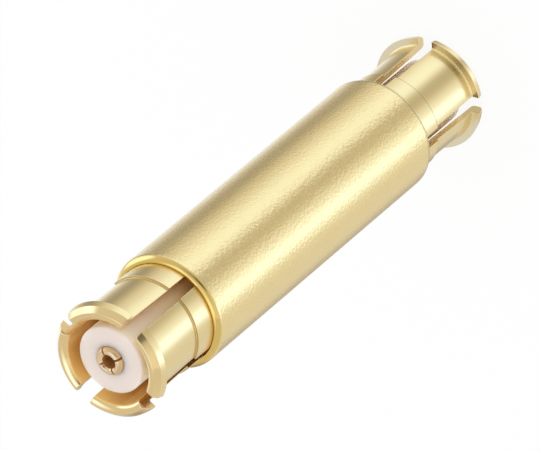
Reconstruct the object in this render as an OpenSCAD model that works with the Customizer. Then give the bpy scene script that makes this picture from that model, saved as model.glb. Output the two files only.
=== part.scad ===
// Push-on coaxial board-to-board adapter: a straight double-ended bullet.
// Each end is a ring of sprung, flared fingers around a recessed white bead and a slotted pin socket.
// The axis is Z, the lower mouth stands on z = 0 and the upper mouth is at the top.
// The sizes run outwards from the bore of the fingers, and each piece seats in the next.
// All lengths are in millimetres and all angles in degrees.

/* [Overall] */
// Length from mouth to mouth
overall_len = 16; // [14:0.1:30]
// Length of each finger end that stands out of the sleeve
exposed_len = 2.8; // [2.3:0.05:3.6]
// Turn of the lower end's slots against the upper end's
lower_turn = 35; // [0:1:89]

/* [Spring baskets] */
// Bore inside the fingers, at their root
basket_bore_d = 2.4; // [2:0.02:2.8]
// Wall of the thinned fingers
finger_wall = 0.19; // [0.15:0.01:0.3]
// Length of the thinned fingers, from the mouth to the step
finger_len = 2.12; // [1.2:0.02:2.2]
// How far the sprung fingers stand outwards at the mouth
finger_splay = 0.03; // [0:0.01:0.1]
// Height of the step from the fingers up to the thick root
root_step = 0.06; // [0.02:0.01:0.15]
// Length of the root that is pressed into the sleeve
shank_len = 2.7; // [2.2:0.1:4]
// Number of slots that part the fingers
slot_count = 4; // [3:1:6]
// Width of each slot at its root
slot_root_w = 0.34; // [0.2:0.02:0.6]
// Width of each slot at the mouth, where the fingers stand apart
slot_mouth_w = 0.46; // [0.2:0.02:0.7]
// Length of each slot that runs on under the sleeve
slot_hidden = 0.4; // [0.1:0.05:0.6]

/* [Finger tips] */
// Height of the flare's back face above the finger
flare_h = 0.225; // [0.2:0.005:0.3]
// Length of the flare, from the mouth to its back face
flare_len = 0.35; // [0.3:0.01:0.8]
// Fall of the tapered land from the back face to the front chamfer
land_drop = 0.045; // [0.01:0.005:0.08]
// Length of the chamfer in front of the land
front_chamfer_len = 0.16; // [0.1:0.01:0.25]
// Width of the flat ring at the mouth, between that chamfer and the bell mouth
mouth_flat_w = 0.03; // [0.01:0.01:0.04]
// Radius of the fillet between the flare and the finger
flare_fillet = 0.05; // [0.01:0.01:0.1]
// Width of the bell mouth at the front of the bore
bell_w = 0.2; // [0.1:0.01:0.22]
// Length of that bell mouth
bell_len = 0.14; // [0.05:0.01:0.3]
// Break on the corners where each slot opens through the front
corner_break = 0.04; // [0.01:0.01:0.1]

/* [Sleeve] */
// Wall of the sleeve around the root of each basket
sleeve_wall = 0.195; // [0.12:0.005:0.5]
// Width of the shoulder between the two counterbores, on which the beads seat
shoulder_w = 0.24; // [0.1:0.01:0.5]
// Flat ring left at each rim between the seam and the chamfer
rim_flat_w = 0.05; // [0.01:0.005:0.07]
// Length of the polished chamfer that takes up the rest of the rim
rim_chamfer_len = 0.1; // [0.02:0.01:0.5]
// Break on the inner edge of each rim, which shows as a dark seam
rim_break = 0.015; // [0.005:0.005:0.03]

/* [Insulator beads] */
// Air gap between a bead and the fingers, which leaves them room to flex
bead_gap = 0.24; // [0.1:0.01:0.4]
// Depth of the bead's face behind the mouth
bead_recess = 0.22; // [0.12:0.01:1]
// Height of the bead's flange above the bore of the fingers
flange_step = 0.1; // [0.04:0.01:0.14]
// Length of that flange
flange_len = 1.9; // [0.8:0.1:2.1]
// Break on the bead's front edge
bead_break = 0.03; // [0.01:0.01:0.1]

/* [Centre contact] */
// Diameter of the contact inside the beads
contact_d = 0.8; // [0.66:0.01:1]
// Depth of the contact's tip behind the mouth
contact_recess = 0.08; // [0:0.01:0.2]
// Height of the collar that the two beads trap between them
collar_h = 0.06; // [0.03:0.01:0.2]
// Width of the rounding at the contact's tip
tip_round_w = 0.11; // [0.02:0.01:0.13]
// Length of that rounding
tip_round_len = 0.12; // [0.03:0.01:0.4]
// Wall of each pin socket
socket_wall = 0.21; // [0.17:0.01:0.3]
// Depth of each pin socket from the contact's tip
socket_depth = 2.2; // [1.4:0.1:3]
// Width of the lead-in at each socket's mouth
lead_in_w = 0.05; // [0.01:0.01:0.06]
// Included angle of the drilled bottom of each socket
drill_angle = 118; // [90:1:150]
// Number of slots in each socket
contact_slots = 4; // [2:1:4]
// Width of each socket slot
contact_slot_w = 0.05; // [0.03:0.01:0.12]
// Length of each socket slot from the tip
contact_slot_len = 1.8; // [0.8:0.1:3]
// Turn of the socket slots about the axis
contact_turn = 60; // [0:1:89]

/* [Fits] */
// Radial play left between a pressed piece and its seat
seat_play = 0.005; // [0.002:0.001:0.01]

/* [Hidden] */
$fn = 96;
// Flats along each rounded corner of a section
arc_steps = 8;
// How far a cutter runs past the face that it opens
overrun = 0.01;
gold = [0.87, 0.76, 0.45];
satin_gold = [0.88, 0.80, 0.56];
ptfe_white = [0.93, 0.91, 0.88];

// Radii from the bore of the fingers outwards
bore_r = basket_bore_d / 2;
bore_mouth_r = bore_r + finger_splay;
finger_r = bore_r + finger_wall;
finger_mouth_r = finger_r + finger_splay;
flare_r = finger_mouth_r + flare_h;
land_front_r = flare_r - land_drop;
root_r = finger_r + root_step;
sleeve_bore_r = root_r + seat_play;
sleeve_r = sleeve_bore_r + sleeve_wall;

// Radii from the bore of the fingers inwards
flange_r = bore_r + flange_step;
flange_seat_r = flange_r + seat_play;
air_bore_r = flange_r - shoulder_w;
bead_r = bore_r - bead_gap;
contact_r = contact_d / 2;
collar_r = contact_r + collar_h;
bead_hole_r = contact_r + seat_play;
tip_r = contact_r - tip_round_w;
socket_r = contact_r - socket_wall;
lead_in_r = socket_r + lead_in_w;

// Heights above the lower mouth
basket_len = exposed_len + shank_len;
slot_len = exposed_len + slot_hidden;
flange_front = basket_len - flange_len;

// Points on a quarter ellipse about [cx, cy] with half axes rx and ry, from angle a0 to a1
function quarter(cx, cy, rx, ry, a0, a1) =
    [for (i = [0 : arc_steps]) let (a = a0 + (a1 - a0) * i / arc_steps)
        [cx + rx * cos(a), cy + ry * sin(a)]];

// The points of a lower end mirrored to the upper end, in reverse order
function at_top(points) =
    [for (i = [len(points) - 1 : -1 : 0]) [points[i][0], overall_len - points[i][1]]];

// Stands a lower end piece on its head at the top of the adapter
module at_upper_end() {
    translate([0, 0, overall_len])
        mirror([0, 0, 1])
            children();
}

// Outline of a slot seen along its cut, from the front face to its root
function slot_outline(front_w, root_w, front, root, corner) = [
    [-front_w / 2 - corner - overrun, front - overrun],
    [front_w / 2 + corner + overrun, front - overrun],
    [front_w / 2, front + corner],
    [root_w / 2, root],
    [-root_w / 2, root],
    [-front_w / 2, front + corner]];

// Cuts the same slot from the axis outwards at equal turns
module saw_slots(count, reach) {
    for (i = [0 : count - 1])
        rotate([90, 0, 90 + i * 360 / count])
            linear_extrude(height = reach)
                children();
}

// Section of the sleeve's lower rim, from the counterbore outwards
function rim_points() = [
    [sleeve_bore_r, exposed_len + rim_break],
    [sleeve_bore_r + rim_break, exposed_len],
    [sleeve_bore_r + rim_break + rim_flat_w, exposed_len],
    [sleeve_r, exposed_len + rim_chamfer_len]];

// Section of the shoulder at the bottom of the lower counterbore
function shoulder_points() = [
    [air_bore_r, basket_len],
    [sleeve_bore_r, basket_len]];

// Turned sleeve: counterbored at both ends for the baskets, with an air line between
module outer_sleeve() {
    color(satin_gold)
        rotate_extrude()
            polygon(concat(
                rim_points(),
                at_top(rim_points()),
                at_top(shoulder_points()),
                shoulder_points()));
}

// Section of a basket standing on its mouth, before it is sawn
module basket_section() {
    polygon(concat(
        quarter(bore_mouth_r + bell_w, bell_len, bell_w, bell_len, 180, 270),
        [[bore_mouth_r + bell_w + mouth_flat_w, 0],
         [land_front_r, front_chamfer_len],
         [flare_r, flare_len]],
        quarter(finger_mouth_r + flare_fillet, flare_len + flare_fillet,
                flare_fillet, flare_fillet, 270, 180),
        [[finger_r, finger_len],
         [root_r, finger_len],
         [root_r, basket_len],
         [flange_seat_r, basket_len],
         [flange_seat_r, flange_front],
         [bore_r, flange_front],
         [bore_r, finger_len]]));
}

// Spring basket: one turned tube, sawn from the mouth into flared fingers that stand apart
module spring_basket() {
    color(gold)
        difference() {
            rotate_extrude() basket_section();
            saw_slots(slot_count, flare_r + root_r)
                polygon(slot_outline(slot_mouth_w, slot_root_w, 0, slot_len, corner_break));
        }
}

// Insulator bead: a nose with air around it and a flange held in the root of the basket
module insulator_bead() {
    color(ptfe_white)
        rotate_extrude()
            polygon([
                [bead_hole_r, bead_recess],
                [bead_r - bead_break, bead_recess],
                [bead_r, bead_recess + bead_break],
                [bead_r, flange_front],
                [flange_r, flange_front],
                [flange_r, basket_len],
                [bead_hole_r, basket_len]]);
}

// Outline of the contact's lower half, from the axis round the tip to the collar
function contact_points() = concat(
    [[0, contact_recess]],
    quarter(tip_r, contact_recess + tip_round_len, tip_round_w, tip_round_len, -90, 0),
    [[contact_r, basket_len],
     [collar_r, basket_len]]);

// Drilled pin socket with its lead-in and pointed bottom
module pin_socket() {
    point_len = socket_r / tan(drill_angle / 2);
    translate([0, 0, contact_recess])
        rotate_extrude()
            polygon([
                [0, -overrun],
                [lead_in_r, -overrun],
                [lead_in_r, 0],
                [socket_r, lead_in_w],
                [socket_r, socket_depth],
                [0, socket_depth + point_len]]);
}

// What the drill and the slitting saw take out of one end of the contact
module socket_cuts() {
    pin_socket();
    rotate([0, 0, contact_turn])
        saw_slots(contact_slots, collar_r)
            polygon(slot_outline(contact_slot_w, contact_slot_w,
                                 contact_recess, contact_recess + contact_slot_len, 0));
}

// Centre contact: one turned pin with a slotted socket at each end
module centre_contact() {
    color(gold)
        difference() {
            rotate_extrude()
                polygon(concat(contact_points(), at_top(contact_points())));
            socket_cuts();
            at_upper_end() socket_cuts();
        }
}

outer_sleeve();
at_upper_end() spring_basket();  // upper_spring_basket
rotate([0, 0, lower_turn]) spring_basket();  // lower_spring_basket
at_upper_end() insulator_bead();  // upper_insulator
insulator_bead();  // lower_insulator
centre_contact();
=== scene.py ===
import math

import bmesh
import bpy
import numpy as np
from mathutils import Matrix, Vector


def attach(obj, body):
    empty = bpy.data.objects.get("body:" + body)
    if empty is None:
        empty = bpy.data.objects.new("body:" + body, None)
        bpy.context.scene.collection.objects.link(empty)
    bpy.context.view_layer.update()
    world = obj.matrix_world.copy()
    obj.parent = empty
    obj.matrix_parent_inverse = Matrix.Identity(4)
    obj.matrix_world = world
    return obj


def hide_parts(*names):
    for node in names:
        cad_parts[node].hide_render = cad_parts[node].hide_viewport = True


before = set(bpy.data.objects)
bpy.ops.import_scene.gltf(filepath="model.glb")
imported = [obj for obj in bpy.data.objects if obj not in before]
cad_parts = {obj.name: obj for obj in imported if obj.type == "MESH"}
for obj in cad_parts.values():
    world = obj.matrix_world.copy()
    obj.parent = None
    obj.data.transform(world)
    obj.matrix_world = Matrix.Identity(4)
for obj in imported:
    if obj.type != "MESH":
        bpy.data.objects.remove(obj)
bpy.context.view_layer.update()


# Centre contact
# One pin turned from beryllium copper and plated with gold. Each end is drilled for the mating pin and sawn
# into four leaves that grip it, and its collar is held between the two insulators.

contact_r = 0.40
contact_recess = 0.08
collar_r = 0.46
tip_round_w, tip_round_len, tip_zone = 0.11, 0.12, 0.3
socket_r, socket_depth = 0.19, 2.2
lead_in_w = 0.05
drill_angle = math.radians(118)
leaf_slot_w, leaf_slot_len = 0.05, 1.8
leaf_turn = math.radians(60)
overall_len = 16.0
collar_start = 5.5
contact_edge = 0.012
beside_corner = 0.02
facing = 0.3
level = 0.5
patches_per_metre = 1900.0
patch_tone = (0.97, 0.95, 0.91)
inside_loss = 0.35


def rounding(cx, cy, rx, ry, start, stop, extra=()):
    """Points on a quarter ellipse: the middle plus rx times the cosine and ry times the sine of each angle
    in degrees. extra adds angles at which a row has to lie."""
    angles = np.radians(np.sort(np.concatenate([np.linspace(start, stop, 9), extra])))
    return np.column_stack([cx + rx * np.cos(angles), cy + ry * np.sin(angles)])


def other_end(rows):
    """The rows of the lower end turned over to the upper end, where height becomes overall length less
    height, in reverse order so that they still run counterclockwise."""
    return np.column_stack([rows[:, 0], overall_len - rows[:, 1]])[::-1]


def sawn_turning(rows, half_width, zones, turn, leaf_steps, slot_steps, closed):
    """Points and faces of a turned piece that is sawn into four leaves.

    Each row of the section goes once round the axis. A slot's face is flat and lies half_width from the
    slot's middle plane, so at radius r it stands at the azimuth asin(half_width / r). leaf_steps equal steps
    lead from one slot face to the next, and slot_steps cross the slot. In a zone, the rows that the saw
    opens, the steps across the slot are left out. A flat face closes each leaf's side, and a floor the
    slot's end."""
    radius, height = rows.T
    edge = np.arcsin(half_width / np.maximum(radius, 2 * half_width))[:, None]
    along = np.linspace(0, 1, leaf_steps + 1)
    across = np.linspace(0, 1, slot_steps + 1)[1:-1]
    quarter = math.pi / 2
    leaf = edge + (quarter - 2 * edge) * along
    slot = quarter - edge + 2 * edge * across
    azimuth = (np.hstack([leaf, slot])[:, None, :] + (quarter * np.arange(4))[None, :, None] + turn)
    azimuth = azimuth.reshape(len(rows), -1)
    points = np.stack([radius[:, None] * np.cos(azimuth), radius[:, None] * np.sin(azimuth),
                       np.broadcast_to(height[:, None], azimuth.shape)], axis=-1).reshape(-1, 3)

    count = azimuth.shape[1]
    leaf_columns = leaf_steps + slot_steps
    row, column = np.meshgrid(np.arange(len(rows) if closed else len(rows) - 1), np.arange(count),
                              indexing="ij")
    kept = np.ones(row.shape, bool)
    for zone in zones:
        sawn = (row >= zone[0]) & (row < zone[-1]) & (column % leaf_columns >= leaf_steps)
        kept &= ~sawn
    row, column = row[kept], column[kept]
    after, beside = (row + 1) % len(rows), (column + 1) % count
    faces = np.column_stack([row * count + column, row * count + beside,
                             after * count + beside, after * count + column]).tolist()
    slot_columns = np.arange(count)[np.arange(count) % leaf_columns >= leaf_steps]
    starts = np.arange(0, count, leaf_columns)
    for zone in zones:
        first, last = zone[0], zone[-1]
        beside = (slot_columns + 1) % count
        faces += np.column_stack([first * count + slot_columns, first * count + beside,
                                  last * count + beside, last * count + slot_columns]).tolist()
        outline = np.concatenate([np.arange(zone[0], zone[1] + 1), np.arange(zone[-2], zone[-1] + 1)])
        outlines = [np.unique(outline)]
        if len(zone) == 4:
            outlines.append(np.arange(zone[1], zone[2] + 1))
        for shape in outlines:
            faces += (shape[None, :] * count + starts[:, None]).tolist()
            faces += (shape[None, ::-1] * count + starts[:, None] + leaf_steps).tolist()
    return points, faces


def machined(name, points, faces, edge):
    """A mesh object in metres from points in millimetres. Points that meet on the axis become one, every
    corner sharper than 20 degrees is rounded over edge millimetres, and flat faces stay flat beside it."""
    mesh = bpy.data.meshes.new(name)
    mesh.from_pydata(points.tolist(), [], faces)
    shell = bmesh.new()
    shell.from_mesh(mesh)
    bmesh.ops.remove_doubles(shell, verts=shell.verts, dist=1e-5)
    bmesh.ops.delete(shell, geom=[v for v in shell.verts if not v.link_faces], context="VERTS")
    shell.to_mesh(mesh)
    shell.free()
    mesh.polygons.foreach_set("use_smooth", np.ones(len(mesh.polygons), bool))
    blank = bpy.data.objects.new(name + "_blank", mesh)
    bpy.context.scene.collection.objects.link(blank)
    bevel = blank.modifiers.new("rounded_edges", "BEVEL")
    bevel.width = edge
    bevel.segments = 2
    bevel.limit_method = "ANGLE"
    bevel.angle_limit = math.radians(20)
    bevel.use_clamp_overlap = False
    bevel.harden_normals = True
    graph = bpy.context.evaluated_depsgraph_get()
    finished = bpy.data.meshes.new_from_object(blank.evaluated_get(graph), depsgraph=graph)
    finished.name = name
    finished.transform(Matrix.Scale(0.001, 4))
    bpy.data.objects.remove(blank)
    bpy.data.meshes.remove(mesh)
    piece = bpy.data.objects.new(name, finished)
    bpy.context.scene.collection.objects.link(piece)
    return piece


class Wire:
    """A shader socket. Arithmetic on it, or on it and a number, adds the Math node that works it out."""

    def __init__(self, tree, socket):
        self.tree, self.socket = tree, socket

    def maths(self, operation, *values):
        return self.tree.node("ShaderNodeMath", {"operation": operation}, dict(enumerate(values)))

    def __add__(self, other):
        return self.maths("ADD", self, other)

    def __radd__(self, other):
        return self.maths("ADD", other, self)

    def __sub__(self, other):
        return self.maths("SUBTRACT", self, other)

    def __rsub__(self, other):
        return self.maths("SUBTRACT", other, self)

    def __mul__(self, other):
        return self.maths("MULTIPLY", self, other)

    def __rmul__(self, other):
        return self.maths("MULTIPLY", other, self)


class Wiring:
    """The node tree of a material or of the world."""

    def __init__(self, owner):
        owner.use_nodes = True
        self.tree = owner.node_tree
        self.shader = next(n for n in self.tree.nodes if n.type in ("BSDF_PRINCIPLED", "BACKGROUND"))
        self.output = next(n for n in self.tree.nodes if n.type.startswith("OUTPUT"))

    def feed(self, node, values):
        """Sets or links the sockets of a node by name or number."""
        for key, value in values.items():
            socket = node.inputs[key]
            if isinstance(value, Wire):
                self.tree.links.new(value.socket, socket)
            else:
                socket.default_value = value

    def node(self, kind, settings, values, out=0):
        """Adds a node: its settings first, a ramp's stops among them, then its sockets."""
        node = self.tree.nodes.new(kind)
        for key, value in settings.items():
            if key == "stops":
                ramp = node.color_ramp.elements
                for place, colour in value[1:]:
                    ramp.new(place).color = colour
                ramp[0].position, ramp[0].color = value[0]
                ramp.remove(ramp[len(value)])
            elif key == "interpolation" and kind == "ShaderNodeValToRGB":
                node.color_ramp.interpolation = value
            else:
                setattr(node, key, value)
        self.feed(node, values)
        return Wire(self, node.outputs[out])


def plated(name, colour, roughness, grain, grain_depth, haze, accents=()):
    """Gold plating. The colour drifts a little in patches of half a millimetre, and a fine grain of the given
    size in mm lifts the surface by grain_depth and roughens it by haze. Each accent is the name of a face
    attribute from 0 to 1, with the colour and the roughness of the faces that it marks; several accents are
    painted light and shade. Inside faces are less metallic, so that a deep bore catches more light and looks
    brighter, and polish takes the grain away."""
    material = bpy.data.materials.new(name)
    wiring = Wiring(material)
    place = wiring.node("ShaderNodeTexCoord", {}, {}, out="Object")
    patches = wiring.node("ShaderNodeTexNoise", {}, {"Vector": place, "Scale": patches_per_metre,
                                                     "Detail": 2.0})
    fine = wiring.node("ShaderNodeTexNoise", {}, {"Vector": place, "Scale": 1000.0 / grain, "Detail": 2.0})
    deeper = tuple(c * k for c, k in zip(colour, patch_tone))
    tint = wiring.node("ShaderNodeMix", {"data_type": "RGBA"},
                       {0: 0.9 * patches + 0.25 * fine - 0.1, 6: (*deeper, 1), 7: (*colour, 1)}, out=2)
    dull = roughness + haze * (fine - 0.5)
    metallic, height = 1.0, fine
    for attribute, accent_colour, accent_roughness in accents:
        share = wiring.node("ShaderNodeAttribute", {"attribute_name": attribute}, {}, out="Fac")
        tint = wiring.node("ShaderNodeMix", {"data_type": "RGBA"},
                           {0: share, 6: tint, 7: (*accent_colour, 1)}, out=2)
        dull = dull + share * (accent_roughness - dull)
        if attribute == "inside":
            metallic = 1.0 - inside_loss * share
        if attribute == "polish":
            height = fine * (1.0 - share)
    bump = wiring.node("ShaderNodeBump", {}, {"Strength": 1.0, "Distance": grain_depth * 0.001,
                                              "Height": height})
    wiring.feed(wiring.shader, {"Metallic": metallic, "Base Color": tint, "Normal": bump, "Roughness": dull})
    return material


def mark(piece, attribute, rule):
    """Stores a face attribute: the rule gets the radius and height in mm of each face's middle and the
    outward and upward share of its normal, as whole arrays, and gives back numbers from 0 to 1. In a rule a
    face looks outwards from the share facing on, inwards below minus facing, and it lies along the axis where
    its upward share stays below level."""
    mesh = piece.data
    middle, normal = np.empty(3 * len(mesh.polygons)), np.empty(3 * len(mesh.polygons))
    mesh.polygons.foreach_get("center", middle)
    mesh.polygons.foreach_get("normal", normal)
    middle, normal = middle.reshape(-1, 3) * 1000, normal.reshape(-1, 3)
    radius = np.hypot(middle[:, 0], middle[:, 1])
    outward = (middle[:, :2] * normal[:, :2]).sum(axis=1) / np.maximum(radius, 1e-6)
    values = rule(radius, middle[:, 2], outward, normal[:, 2])
    mesh.attributes.new(attribute, "FLOAT", "FACE").data.foreach_set("value", values.astype(np.float32))


def lower_contact_rows():
    """Section of the contact's lower half from the drilled point to the collar, and the two rows where its
    slots end. A row beside each corner keeps the rounding of its edge narrow."""
    front = contact_recess
    bottom = front + socket_depth
    floor = front + leaf_slot_len
    inner = np.array([[0, bottom + socket_r / math.tan(drill_angle / 2)], [socket_r, bottom],
                      [socket_r, floor], [socket_r, front + lead_in_w + beside_corner],
                      [socket_r, front + lead_in_w], [socket_r + lead_in_w, front]])
    tip = rounding(contact_r - tip_round_w, front + tip_round_len, tip_round_w, tip_round_len, -90, 0)
    outer = np.array([[contact_r, front + tip_round_len + beside_corner], [contact_r, floor],
                      [contact_r, collar_start], [collar_r, collar_start]])
    rows = np.vstack([inner, tip, outer])
    return rows, (2, len(inner) + len(tip) + 1)


contact_rows, (floor_in, floor_out) = lower_contact_rows()
contact_last = 2 * len(contact_rows) - 1
contact_points, contact_faces = sawn_turning(
    np.vstack([contact_rows, other_end(contact_rows)]), np.full(2 * len(contact_rows), leaf_slot_w / 2),
    [(floor_in, floor_out), (contact_last - floor_out, contact_last - floor_in)],
    leaf_turn, leaf_steps=20, slot_steps=3, closed=False)
contact = machined("contact", contact_points, contact_faces, contact_edge)
# The deep orange in the socket and the slots is painted warm light, bounced between the gold walls.
# The tan accent on the round at each leaf's front is painted shade.
contact_gold = plated("contact_gold", (0.93, 0.75, 0.47), 0.16, 0.06, 0.0004, 0.05, [
    ("socket", (1.0, 0.67, 0.32), 0.55), ("tip_side", (0.79, 0.56, 0.31), 0.30)])


def in_socket_glow(radius, height, outward, upward):
    """The bore of the socket and the sides of the slots, painted a deep orange: painted warm light of the
    many bounces between the gold walls.
    """
    return (outward < facing) & (np.abs(upward) < level)


def on_tip_round_shade(radius, height, outward, upward):
    """The round at the front of each leaf, beside its flat face, painted tan: painted shade that gives the
    look of a wider round.
    """
    from_mouth = np.minimum(height, overall_len - height)
    return (from_mouth < tip_zone) & (outward > 0.25)


mark(contact, "socket", in_socket_glow)
mark(contact, "tip_side", on_tip_round_shade)
contact.data.materials.append(contact_gold)
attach(contact, "root")
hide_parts("centre_contact")


# Insulators
# Two white PTFE beads, turned, one at each end. The nose keeps clear of the fingers so that they can flex,
# and the flange behind it is held between the basket and the sleeve's shoulder. The side is painted with the
# warm light of the gold around it, most of all deep in the upper slots, and the face is painted a darker,
# pinker white than the side, as painted shade that tones down the light on it.

bead_r, bead_hole_r = 0.96, 0.405
bead_recess, bead_break = 0.22, 0.03
flange_r = 1.30
flange_front, basket_len = 3.6, 5.5
bead_edge = 0.01
# The face's two whites are painted shade: darker and pinker than the side's plain white.
front_white, front_white_light = (0.81, 0.71, 0.65, 1), (0.85, 0.76, 0.71, 1)
plain_white, painted_warm_white, painted_gold_light = (1.0, 0.97, 0.93, 1), (0.99, 0.86, 0.74, 1), (1.0, 0.66, 0.32, 1)


def turned(rows, steps):
    """Points and faces of a ring: each row of the closed section goes once round the axis in equal steps."""
    azimuth = np.linspace(0, 2 * math.pi, steps, endpoint=False)
    points = np.stack([rows[:, 0, None] * np.cos(azimuth), rows[:, 0, None] * np.sin(azimuth),
                       np.broadcast_to(rows[:, 1, None], (len(rows), steps))], axis=-1).reshape(-1, 3)
    row, column = (a.ravel() for a in np.meshgrid(np.arange(len(rows)), np.arange(steps), indexing="ij"))
    after, beside = (row + 1) % len(rows), (column + 1) % steps
    faces = np.column_stack([row * steps + column, row * steps + beside,
                             after * steps + beside, after * steps + column]).tolist()
    return points, faces


bead_rows = np.array([
    [bead_hole_r, basket_len], [bead_hole_r, bead_recess], [bead_r - bead_break, bead_recess],
    [bead_r, bead_recess + bead_break], [bead_r, flange_front], [flange_r, flange_front],
    [flange_r, basket_len]])
white_ptfe = bpy.data.materials.new("white_ptfe")
ptfe = Wiring(white_ptfe)
ptfe_place = ptfe.node("ShaderNodeTexCoord", {}, {}, out="Object")
ptfe_marks = ptfe.node("ShaderNodeTexNoise", {}, {"Vector": ptfe_place, "Scale": 9000.0, "Detail": 3.0})
ptfe_drift = ptfe.node("ShaderNodeTexNoise", {}, {"Vector": ptfe_place, "Scale": 1200.0, "Detail": 1.0})
ptfe_split = ptfe.node("ShaderNodeSeparateXYZ", {}, {"Vector": ptfe_place})
ptfe_height = Wire(ptfe, ptfe_split.socket.node.outputs[2]) * 1000.0
ptfe_off_middle = ptfe_height - overall_len / 2
ptfe_from_mouth = overall_len / 2 - ptfe_off_middle.maths("ABSOLUTE", ptfe_off_middle)
ptfe_deep = ptfe.node("ShaderNodeMapRange", {}, {"Value": ptfe_from_mouth, "From Min": 0.3, "From Max": 3.0})
ptfe_upper = ptfe.node("ShaderNodeMapRange", {}, {"Value": ptfe_height, "From Min": 4.0, "From Max": 12.0})
ptfe_front = ptfe.node("ShaderNodeMapRange", {}, {"Value": ptfe_from_mouth, "From Min": 0.34,
                                                  "From Max": 0.24})
# The side is painted with warm light: warmer on the upper bead, and gold deep in its slots.
ptfe_plain = ptfe.node("ShaderNodeMix", {"data_type": "RGBA"}, {0: ptfe_upper, 6: plain_white, 7: painted_warm_white},
                       out=2)
ptfe_side = ptfe.node("ShaderNodeMix", {"data_type": "RGBA"},
                      {0: ptfe_deep * ptfe_upper, 6: ptfe_plain, 7: painted_gold_light}, out=2)
# Painted shade: the face is a darker, pinker white, drifting a little in patches.
ptfe_face = ptfe.node("ShaderNodeMix", {"data_type": "RGBA"},
                      {0: ptfe_drift, 6: front_white, 7: front_white_light}, out=2)
ptfe_tint = ptfe.node("ShaderNodeMix", {"data_type": "RGBA"}, {0: ptfe_front, 6: ptfe_side, 7: ptfe_face},
                      out=2)
ptfe_bump = ptfe.node("ShaderNodeBump", {}, {"Strength": 1.0, "Distance": 1.5e-6, "Height": ptfe_marks})
ptfe.feed(ptfe.shader, {"Base Color": ptfe_tint, "Roughness": 0.5 + 0.15 * ptfe_marks, "Normal": ptfe_bump,
                        "IOR": 1.38, "Subsurface Weight": 1.0, "Subsurface Scale": 0.001,
                        "Subsurface Radius": (0.50, 0.47, 0.44)})
for name, section in (("lower_bead", bead_rows), ("upper_bead", other_end(bead_rows))):
    bead = machined(name, *turned(section, 128), bead_edge)
    bead.data.materials.append(white_ptfe)
    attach(bead, "root")
    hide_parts(name.replace("bead", "insulator"))


# Spring baskets
# Each is one tube turned from beryllium copper, sawn into four fingers, spread a little, heat treated and
# plated with gold. Its thick root is pressed into the sleeve, and the flared tips snap into the mating part's
# shroud.

bore_r, finger_wall, finger_splay = 1.20, 0.19, 0.03
finger_r = bore_r + finger_wall
root_r = 1.45
finger_len, exposed_len = 2.12, 2.8
slot_root_w, slot_mouth_w, corner_break = 0.34, 0.46, 0.04
slot_len = 3.2
flare_r, flare_len, flare_fillet = 1.645, 0.35, 0.05
land_front_r, front_chamfer_len, mouth_flat_w = 1.60, 0.16, 0.03
bell_w, bell_len = 0.20, 0.14
flange_seat_r = 1.305
step_edge_w, basket_edge = 0.03, 0.014
lower_turn = math.radians(35)


def basket_rows():
    """Section of a basket standing on its mouth, from the slot's end down the bore, round the tip, up the
    outside and back, with the four rows that bound a slot's face and its broken corner."""
    bore_mouth = bore_r + finger_splay
    bell_cut = 180 + math.degrees(math.asin(1 - corner_break / bell_len))
    bell = rounding(bore_mouth + bell_w, bell_len, bell_w, bell_len, 180, 270, [bell_cut])
    mouth_r = bore_mouth + bell_w + mouth_flat_w
    cut_r = mouth_r + (land_front_r - mouth_r) * corner_break / front_chamfer_len
    lip = np.array([[mouth_r, 0], [cut_r, corner_break], [land_front_r, front_chamfer_len],
                    [flare_r, flare_len]])
    fillet = rounding(finger_r + finger_splay + flare_fillet, flare_len + flare_fillet, flare_fillet,
                      flare_fillet, 180, 270)[::-1]
    inner = np.array([[bore_r, slot_len], [bore_r, finger_len], [bore_mouth, bell_len + beside_corner]])
    outer = np.array([[finger_r + finger_splay, flare_len + flare_fillet + beside_corner],
                      [finger_r, finger_len], [root_r, finger_len], [root_r, finger_len + step_edge_w],
                      [root_r, slot_len]])
    ring = np.array([[root_r, basket_len], [flange_seat_r, basket_len], [flange_seat_r, flange_front],
                     [bore_r, flange_front]])
    rows = np.vstack([inner, bell, lip, fillet, outer, ring])
    on_break = np.flatnonzero(np.abs(rows[:, 1] - corner_break) < 1e-6)
    return rows, (0, on_break[0], on_break[-1], len(rows) - len(ring) - 1)


def slot_half_width(height):
    """Half the slot's width: it narrows evenly from the mouth to the slot's end, and the corners at the
    mouth are broken at 45 degrees."""
    half = np.interp(height, [corner_break, slot_len], [slot_mouth_w / 2, slot_root_w / 2])
    return half + np.maximum(corner_break - height, 0)


basket_section, basket_zone = basket_rows()
basket_half = slot_half_width(basket_section[:, 1])
# The dark accent at the steps is painted: a line of painted shade at the lower step, a little darker across
# the upper step's face.
# The deep orange of the bore is painted warm light from the gold walls around it.
# The deeper gold of the slot sides is painted warm light, strongest at the upper end.
# The paler gold behind each flare is a painted sheen.
bright_gold = plated("bright_gold", (0.90, 0.71, 0.35), 0.25, 0.07, 0.0004, 0.05, [
    ("lip", (0.94, 0.71, 0.35), 0.12), ("flank", (0.94, 0.83, 0.58), 0.22),
    ("inside", (1.0, 0.69, 0.26), 0.28), ("slot_side", (0.88, 0.60, 0.27), 0.25),
    ("edge", (0.52, 0.41, 0.22), 0.30)])


def on_lip(radius, height, outward, upward):
    """The polished bell mouth, flat ring and chamfer at the front of each finger."""
    from_mouth = np.minimum(height, overall_len - height)
    return (from_mouth < front_chamfer_len + 0.01) & (radius < flare_r) & (outward < 0.95)


def on_flank_sheen(radius, height, outward, upward):
    """The flat face across the axis behind the flare, painted a paler gold: a painted sheen of the white
    around it.
    """
    from_mouth = np.minimum(height, overall_len - height)
    return (np.abs(upward) > 0.9) & (np.abs(from_mouth - flare_len) < 0.02)


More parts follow.
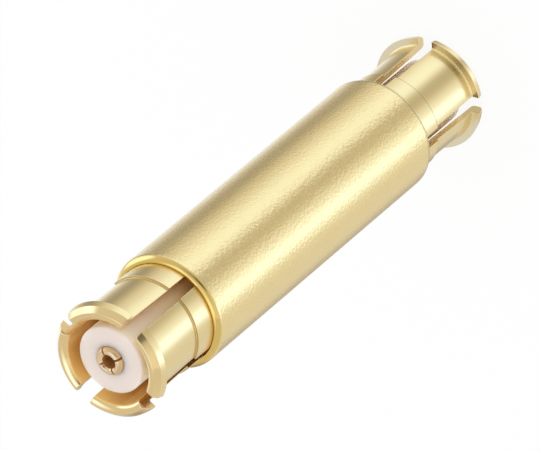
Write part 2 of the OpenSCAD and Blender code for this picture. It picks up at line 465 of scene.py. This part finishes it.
def on_dark_step_lines(radius, height, outward, upward):
    """The lower step's corner, painted darker as a line of painted shade, and the upper step's face, a little
    darker.
    """
    corner = (height > finger_len - 0.005) & (height < finger_len + step_edge_w) & (outward > 0.5)
    return corner + 0.4 * ((np.abs(overall_len - height - finger_len) < 0.01) & (upward > 0.6))


def on_bore_glow(radius, height, outward, upward):
    """The bore, painted a deep orange: painted warm light from the gold walls around it."""
    return (outward < -facing) & (np.abs(upward) < level)


def on_slot_side_glow(radius, height, outward, upward):
    """The sawn sides of the fingers, painted a deeper gold at the upper end than at the lower: painted warm
    light from the gold around them.
    """
    sawn = (np.abs(outward) < facing) & (np.abs(upward) < level)
    return sawn * np.where(height > overall_len / 2, 1.0, 0.15)


for name, turn in (("lower_basket", lower_turn), ("upper_basket", 0.0)):
    points, faces = sawn_turning(basket_section, basket_half, [basket_zone], turn,
                                 leaf_steps=36, slot_steps=4, closed=True)
    if name == "upper_basket":
        points[:, 2] = overall_len - points[:, 2]
        faces = [face[::-1] for face in faces]
    basket = machined(name, points, faces, basket_edge)
    mark(basket, "lip", on_lip)
    mark(basket, "flank", on_flank_sheen)
    mark(basket, "inside", on_bore_glow)
    mark(basket, "slot_side", on_slot_side_glow)
    mark(basket, "edge", on_dark_step_lines)
    basket.data.materials.append(bright_gold)
    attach(basket, "root")
    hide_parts(name.replace("basket", "spring_basket"))


# Outer sleeve
# A plain tube turned from brass, plated to a satin gold. Both ends are counterbored for the baskets. Each rim
# has a narrow flat and a chamfer, polished and eased into each other, and the fit with the basket inside it
# shows as a dark seam. Behind the lower chamfer a line of painted shade darkens the side.

sleeve_r, sleeve_bore_r, air_bore_r = 1.65, 1.455, 1.06
rim_flat_w, rim_chamfer_len = 0.065, 0.10
rim_ease_in, rim_ease_out = 0.035, 0.06
rim_end, lower_edge_start = 0.09, 0.04
sleeve_edge = 0.014


def eased(start, corner, stop):
    """Points on the parabola that leaves the start and reaches the stop along the lines to the corner: the
    three points weighted by (1 - t)^2, 2 t (1 - t) and t^2."""
    t = np.linspace(0, 1, 6)[:, None]
    return (1 - t) ** 2 * start + 2 * t * (1 - t) * corner + t ** 2 * stop


flat_end = np.array([sleeve_bore_r + rim_flat_w, exposed_len])
side_start = np.array([sleeve_r, exposed_len + rim_chamfer_len])
chamfer_middle = (flat_end + side_start) / 2
rim_rows = np.vstack([
    [[sleeve_bore_r, exposed_len]], eased(flat_end - [rim_ease_in, 0], flat_end, chamfer_middle),
    eased(chamfer_middle, side_start, side_start + [0, rim_ease_out])[1:], [side_start + [0, rim_end]]])
shoulder_rows = np.array([[air_bore_r, basket_len], [sleeve_bore_r, basket_len]])
sleeve_rows = np.vstack([shoulder_rows, rim_rows, other_end(rim_rows), other_end(shoulder_rows)])
sleeve = machined("sleeve", *turned(sleeve_rows, 192), sleeve_edge)
# The dark accent behind the lower chamfer is painted shade.
satin_gold = plated("satin_gold", (0.925, 0.72, 0.34), 0.28, 0.08, 0.009, 0.14, [
    ("polish", (0.87, 0.62, 0.20), 0.12), ("lower_edge", (0.62, 0.49, 0.26), 0.30)])


def on_rim(radius, height, outward, upward):
    """The polished rims, up to where they run out into the satin side."""
    return np.clip((np.abs(upward) - 0.35) / 0.3, 0, 1)


def on_lower_edge_shade(radius, height, outward, upward):
    """The corner behind the lower chamfer, painted darker: a line of painted shade at the lower rim only."""
    behind = height - side_start[1]
    return (behind < rim_end) & (behind > lower_edge_start) & (outward > 0.9)


mark(sleeve, "polish", on_rim)
mark(sleeve, "lower_edge", on_lower_edge_shade)
sleeve.data.materials.append(satin_gold)
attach(sleeve, "root")
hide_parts("outer_sleeve")


# Floor
# The pale ground that the adapter stands on. It shows white to the camera and keeps a faint soft shadow. The
# metal doesn't show it: its reflections show the tent on all sides.

floor_half = 1.0
floor_white = 0.9
floor_mesh = bpy.data.meshes.new("floor")
floor_mesh.from_pydata([(-floor_half, -floor_half, 0), (floor_half, -floor_half, 0),
                        (floor_half, floor_half, 0), (-floor_half, floor_half, 0)], [], [(0, 1, 2, 3)])
floor = bpy.data.objects.new("floor", floor_mesh)
bpy.context.scene.collection.objects.link(floor)
floor.visible_glossy = False
floor.visible_diffuse = False
floor.visible_shadow = False
pale_ground = bpy.data.materials.new("pale_ground")
ground = Wiring(pale_ground)
seen = ground.node("ShaderNodeLightPath", {}, {}, out="Is Camera Ray")
ground.feed(ground.shader, {"Base Color": (0.95, 0.95, 0.95, 1), "Roughness": 1.0})
glow = ground.node("ShaderNodeEmission", {}, {"Color": (1, 1, 1, 1), "Strength": 1.0})
lit = Wire(ground, ground.shader.outputs[0])
ground.feed(ground.output, {
    "Surface": ground.node("ShaderNodeMixShader", {}, {0: floor_white * seen, 1: lit, 2: glow})})
floor_mesh.materials.append(pale_ground)


# Studio light
# A white tent of lengthwise panels, which the metal shows as soft bands. It is dim around the lens and its
# stand, and has a low soft panel on one side and a glow overhead. One broad soft lamp stands above, on the
# left.

viewing_side = -99.8
upper_tone = 0.71
cool_from = 0.72
lens_side, stand_side = (-0.12, -0.693, 0.711), (-0.093, -0.537, 0.839)
low_side, top_side = (0.942, 0.271, 0.200), (0.0, 0.0, 1.0)

tent = bpy.data.worlds.new("tent")
bpy.context.scene.world = tent
sky = Wiring(tent)
# Each panel is its place, in degrees round the axis from the viewing side, and its strength
panels = [(viewing_side - p, v) for p, v in (
    (-160, 1.05), (-110, 0.35), (-70, 0.85), (-50, 1.1), (-30, 1.15), (-10, 0.55), (0, 0.55), (30, 1.0),
    (50, 1.5), (70, 0.8), (130, 0.8), (150, 0.4), (170, 0.65))]
panels = sorted(((azimuth + 180) % 360 / 360, value) for azimuth, value in panels)
direction = sky.node("ShaderNodeTexCoord", {}, {}, out="Generated")
split = sky.node("ShaderNodeSeparateXYZ", {}, {"Vector": direction})
side_x, side_y, side_z = (Wire(sky, s) for s in split.socket.node.outputs)
azimuth = side_x.maths("ARCTAN2", side_y, side_x) * (0.5 / math.pi) + 0.5
bands = sky.node("ShaderNodeValToRGB",
                 {"stops": [(p, (v / 2, v / 2, v / 2, 1)) for p, v in panels], "interpolation": "EASE"},
                 {"Fac": azimuth})
glossy = sky.node("ShaderNodeLightPath", {}, {}, out="Is Glossy Ray")
above = sky.node("ShaderNodeMapRange", {"interpolation_type": "SMOOTHSTEP"},
                 {"Value": side_z, "From Min": -0.15, "From Max": 0.45})


def soft_spot(toward, edge, middle, outside, inside):
    """A round place in the tent: as the cosine of the angle to the direction toward grows from edge to
    middle, the value leads smoothly from outside to inside."""
    cosine = sky.node("ShaderNodeVectorMath", {"operation": "DOT_PRODUCT"}, {0: direction, 1: toward},
                      out="Value")
    return sky.node("ShaderNodeMapRange", {"interpolation_type": "SMOOTHSTEP"},
                    {"Value": cosine, "From Min": edge, "From Max": middle, "To Min": outside,
                     "To Max": inside})


lens = soft_spot(lens_side, 0.955, 0.995, 1.0, 0.35)
stand = soft_spot(stand_side, 0.80, 0.97, 1.0, 0.62)
low_panel = soft_spot(low_side, 0.86, 0.97, 0.0, 0.65)
overhead = soft_spot(top_side, 0.80, 0.97, 0.0, 0.6)
panel = bands * 2.0
shown = (panel + above * (upper_tone - panel) + overhead + low_panel) * lens * stand
strength = glossy * shown + (1.0 - glossy)
cool = sky.node("ShaderNodeMix", {"data_type": "RGBA", "clamp_factor": True},
                {0: glossy * (shown - cool_from), 6: (1, 1, 1, 1), 7: (1.0, 1.4, 2.1, 1)}, out=2)
sky.feed(sky.shader, {"Color": cool, "Strength": strength})

lamp_data = bpy.data.lights.new("soft_lamp", "AREA")
lamp_data.energy = 0.014
lamp_data.size = 0.16
lamp = bpy.data.objects.new("soft_lamp", lamp_data)
bpy.context.scene.collection.objects.link(lamp)
lamp.location = (-0.10, -0.08, 0.16)
lamp_aim = Vector((0, 0, overall_len / 2000))
lamp.rotation_euler = (lamp_aim - lamp.location).to_track_quat("-Z", "Y").to_euler()


# Camera
# It stands at the photograph's viewing angle, above and in front of the upper mouth, turned about its own
# axis so that the adapter lies across the picture.

view_azimuth, view_elevation, view_roll = map(math.radians, (-9.808, 45.32, 130.11))
view_aim, view_distance = Vector((0.02e-3, 0, 8.198e-3)), 207.57e-3
look = Vector((-math.sin(view_azimuth) * math.cos(view_elevation),
               math.cos(view_azimuth) * math.cos(view_elevation), -math.sin(view_elevation)))
level_right = look.cross(Vector((0, 0, 1))).normalized()
right = Matrix.Rotation(view_roll, 3, look) @ level_right
camera_data = bpy.data.cameras.new("camera")
camera_data.sensor_width = 36
camera_data.lens = 529.15
camera_data.clip_start = 0.01
camera = bpy.data.objects.new("camera", camera_data)
bpy.context.scene.collection.objects.link(camera)
camera.matrix_world = Matrix((right, right.cross(look), -look)).transposed().to_4x4()
camera.location = view_aim - view_distance * look
bpy.context.scene.camera = camera
bpy.context.scene.view_settings.view_transform = "Standard"
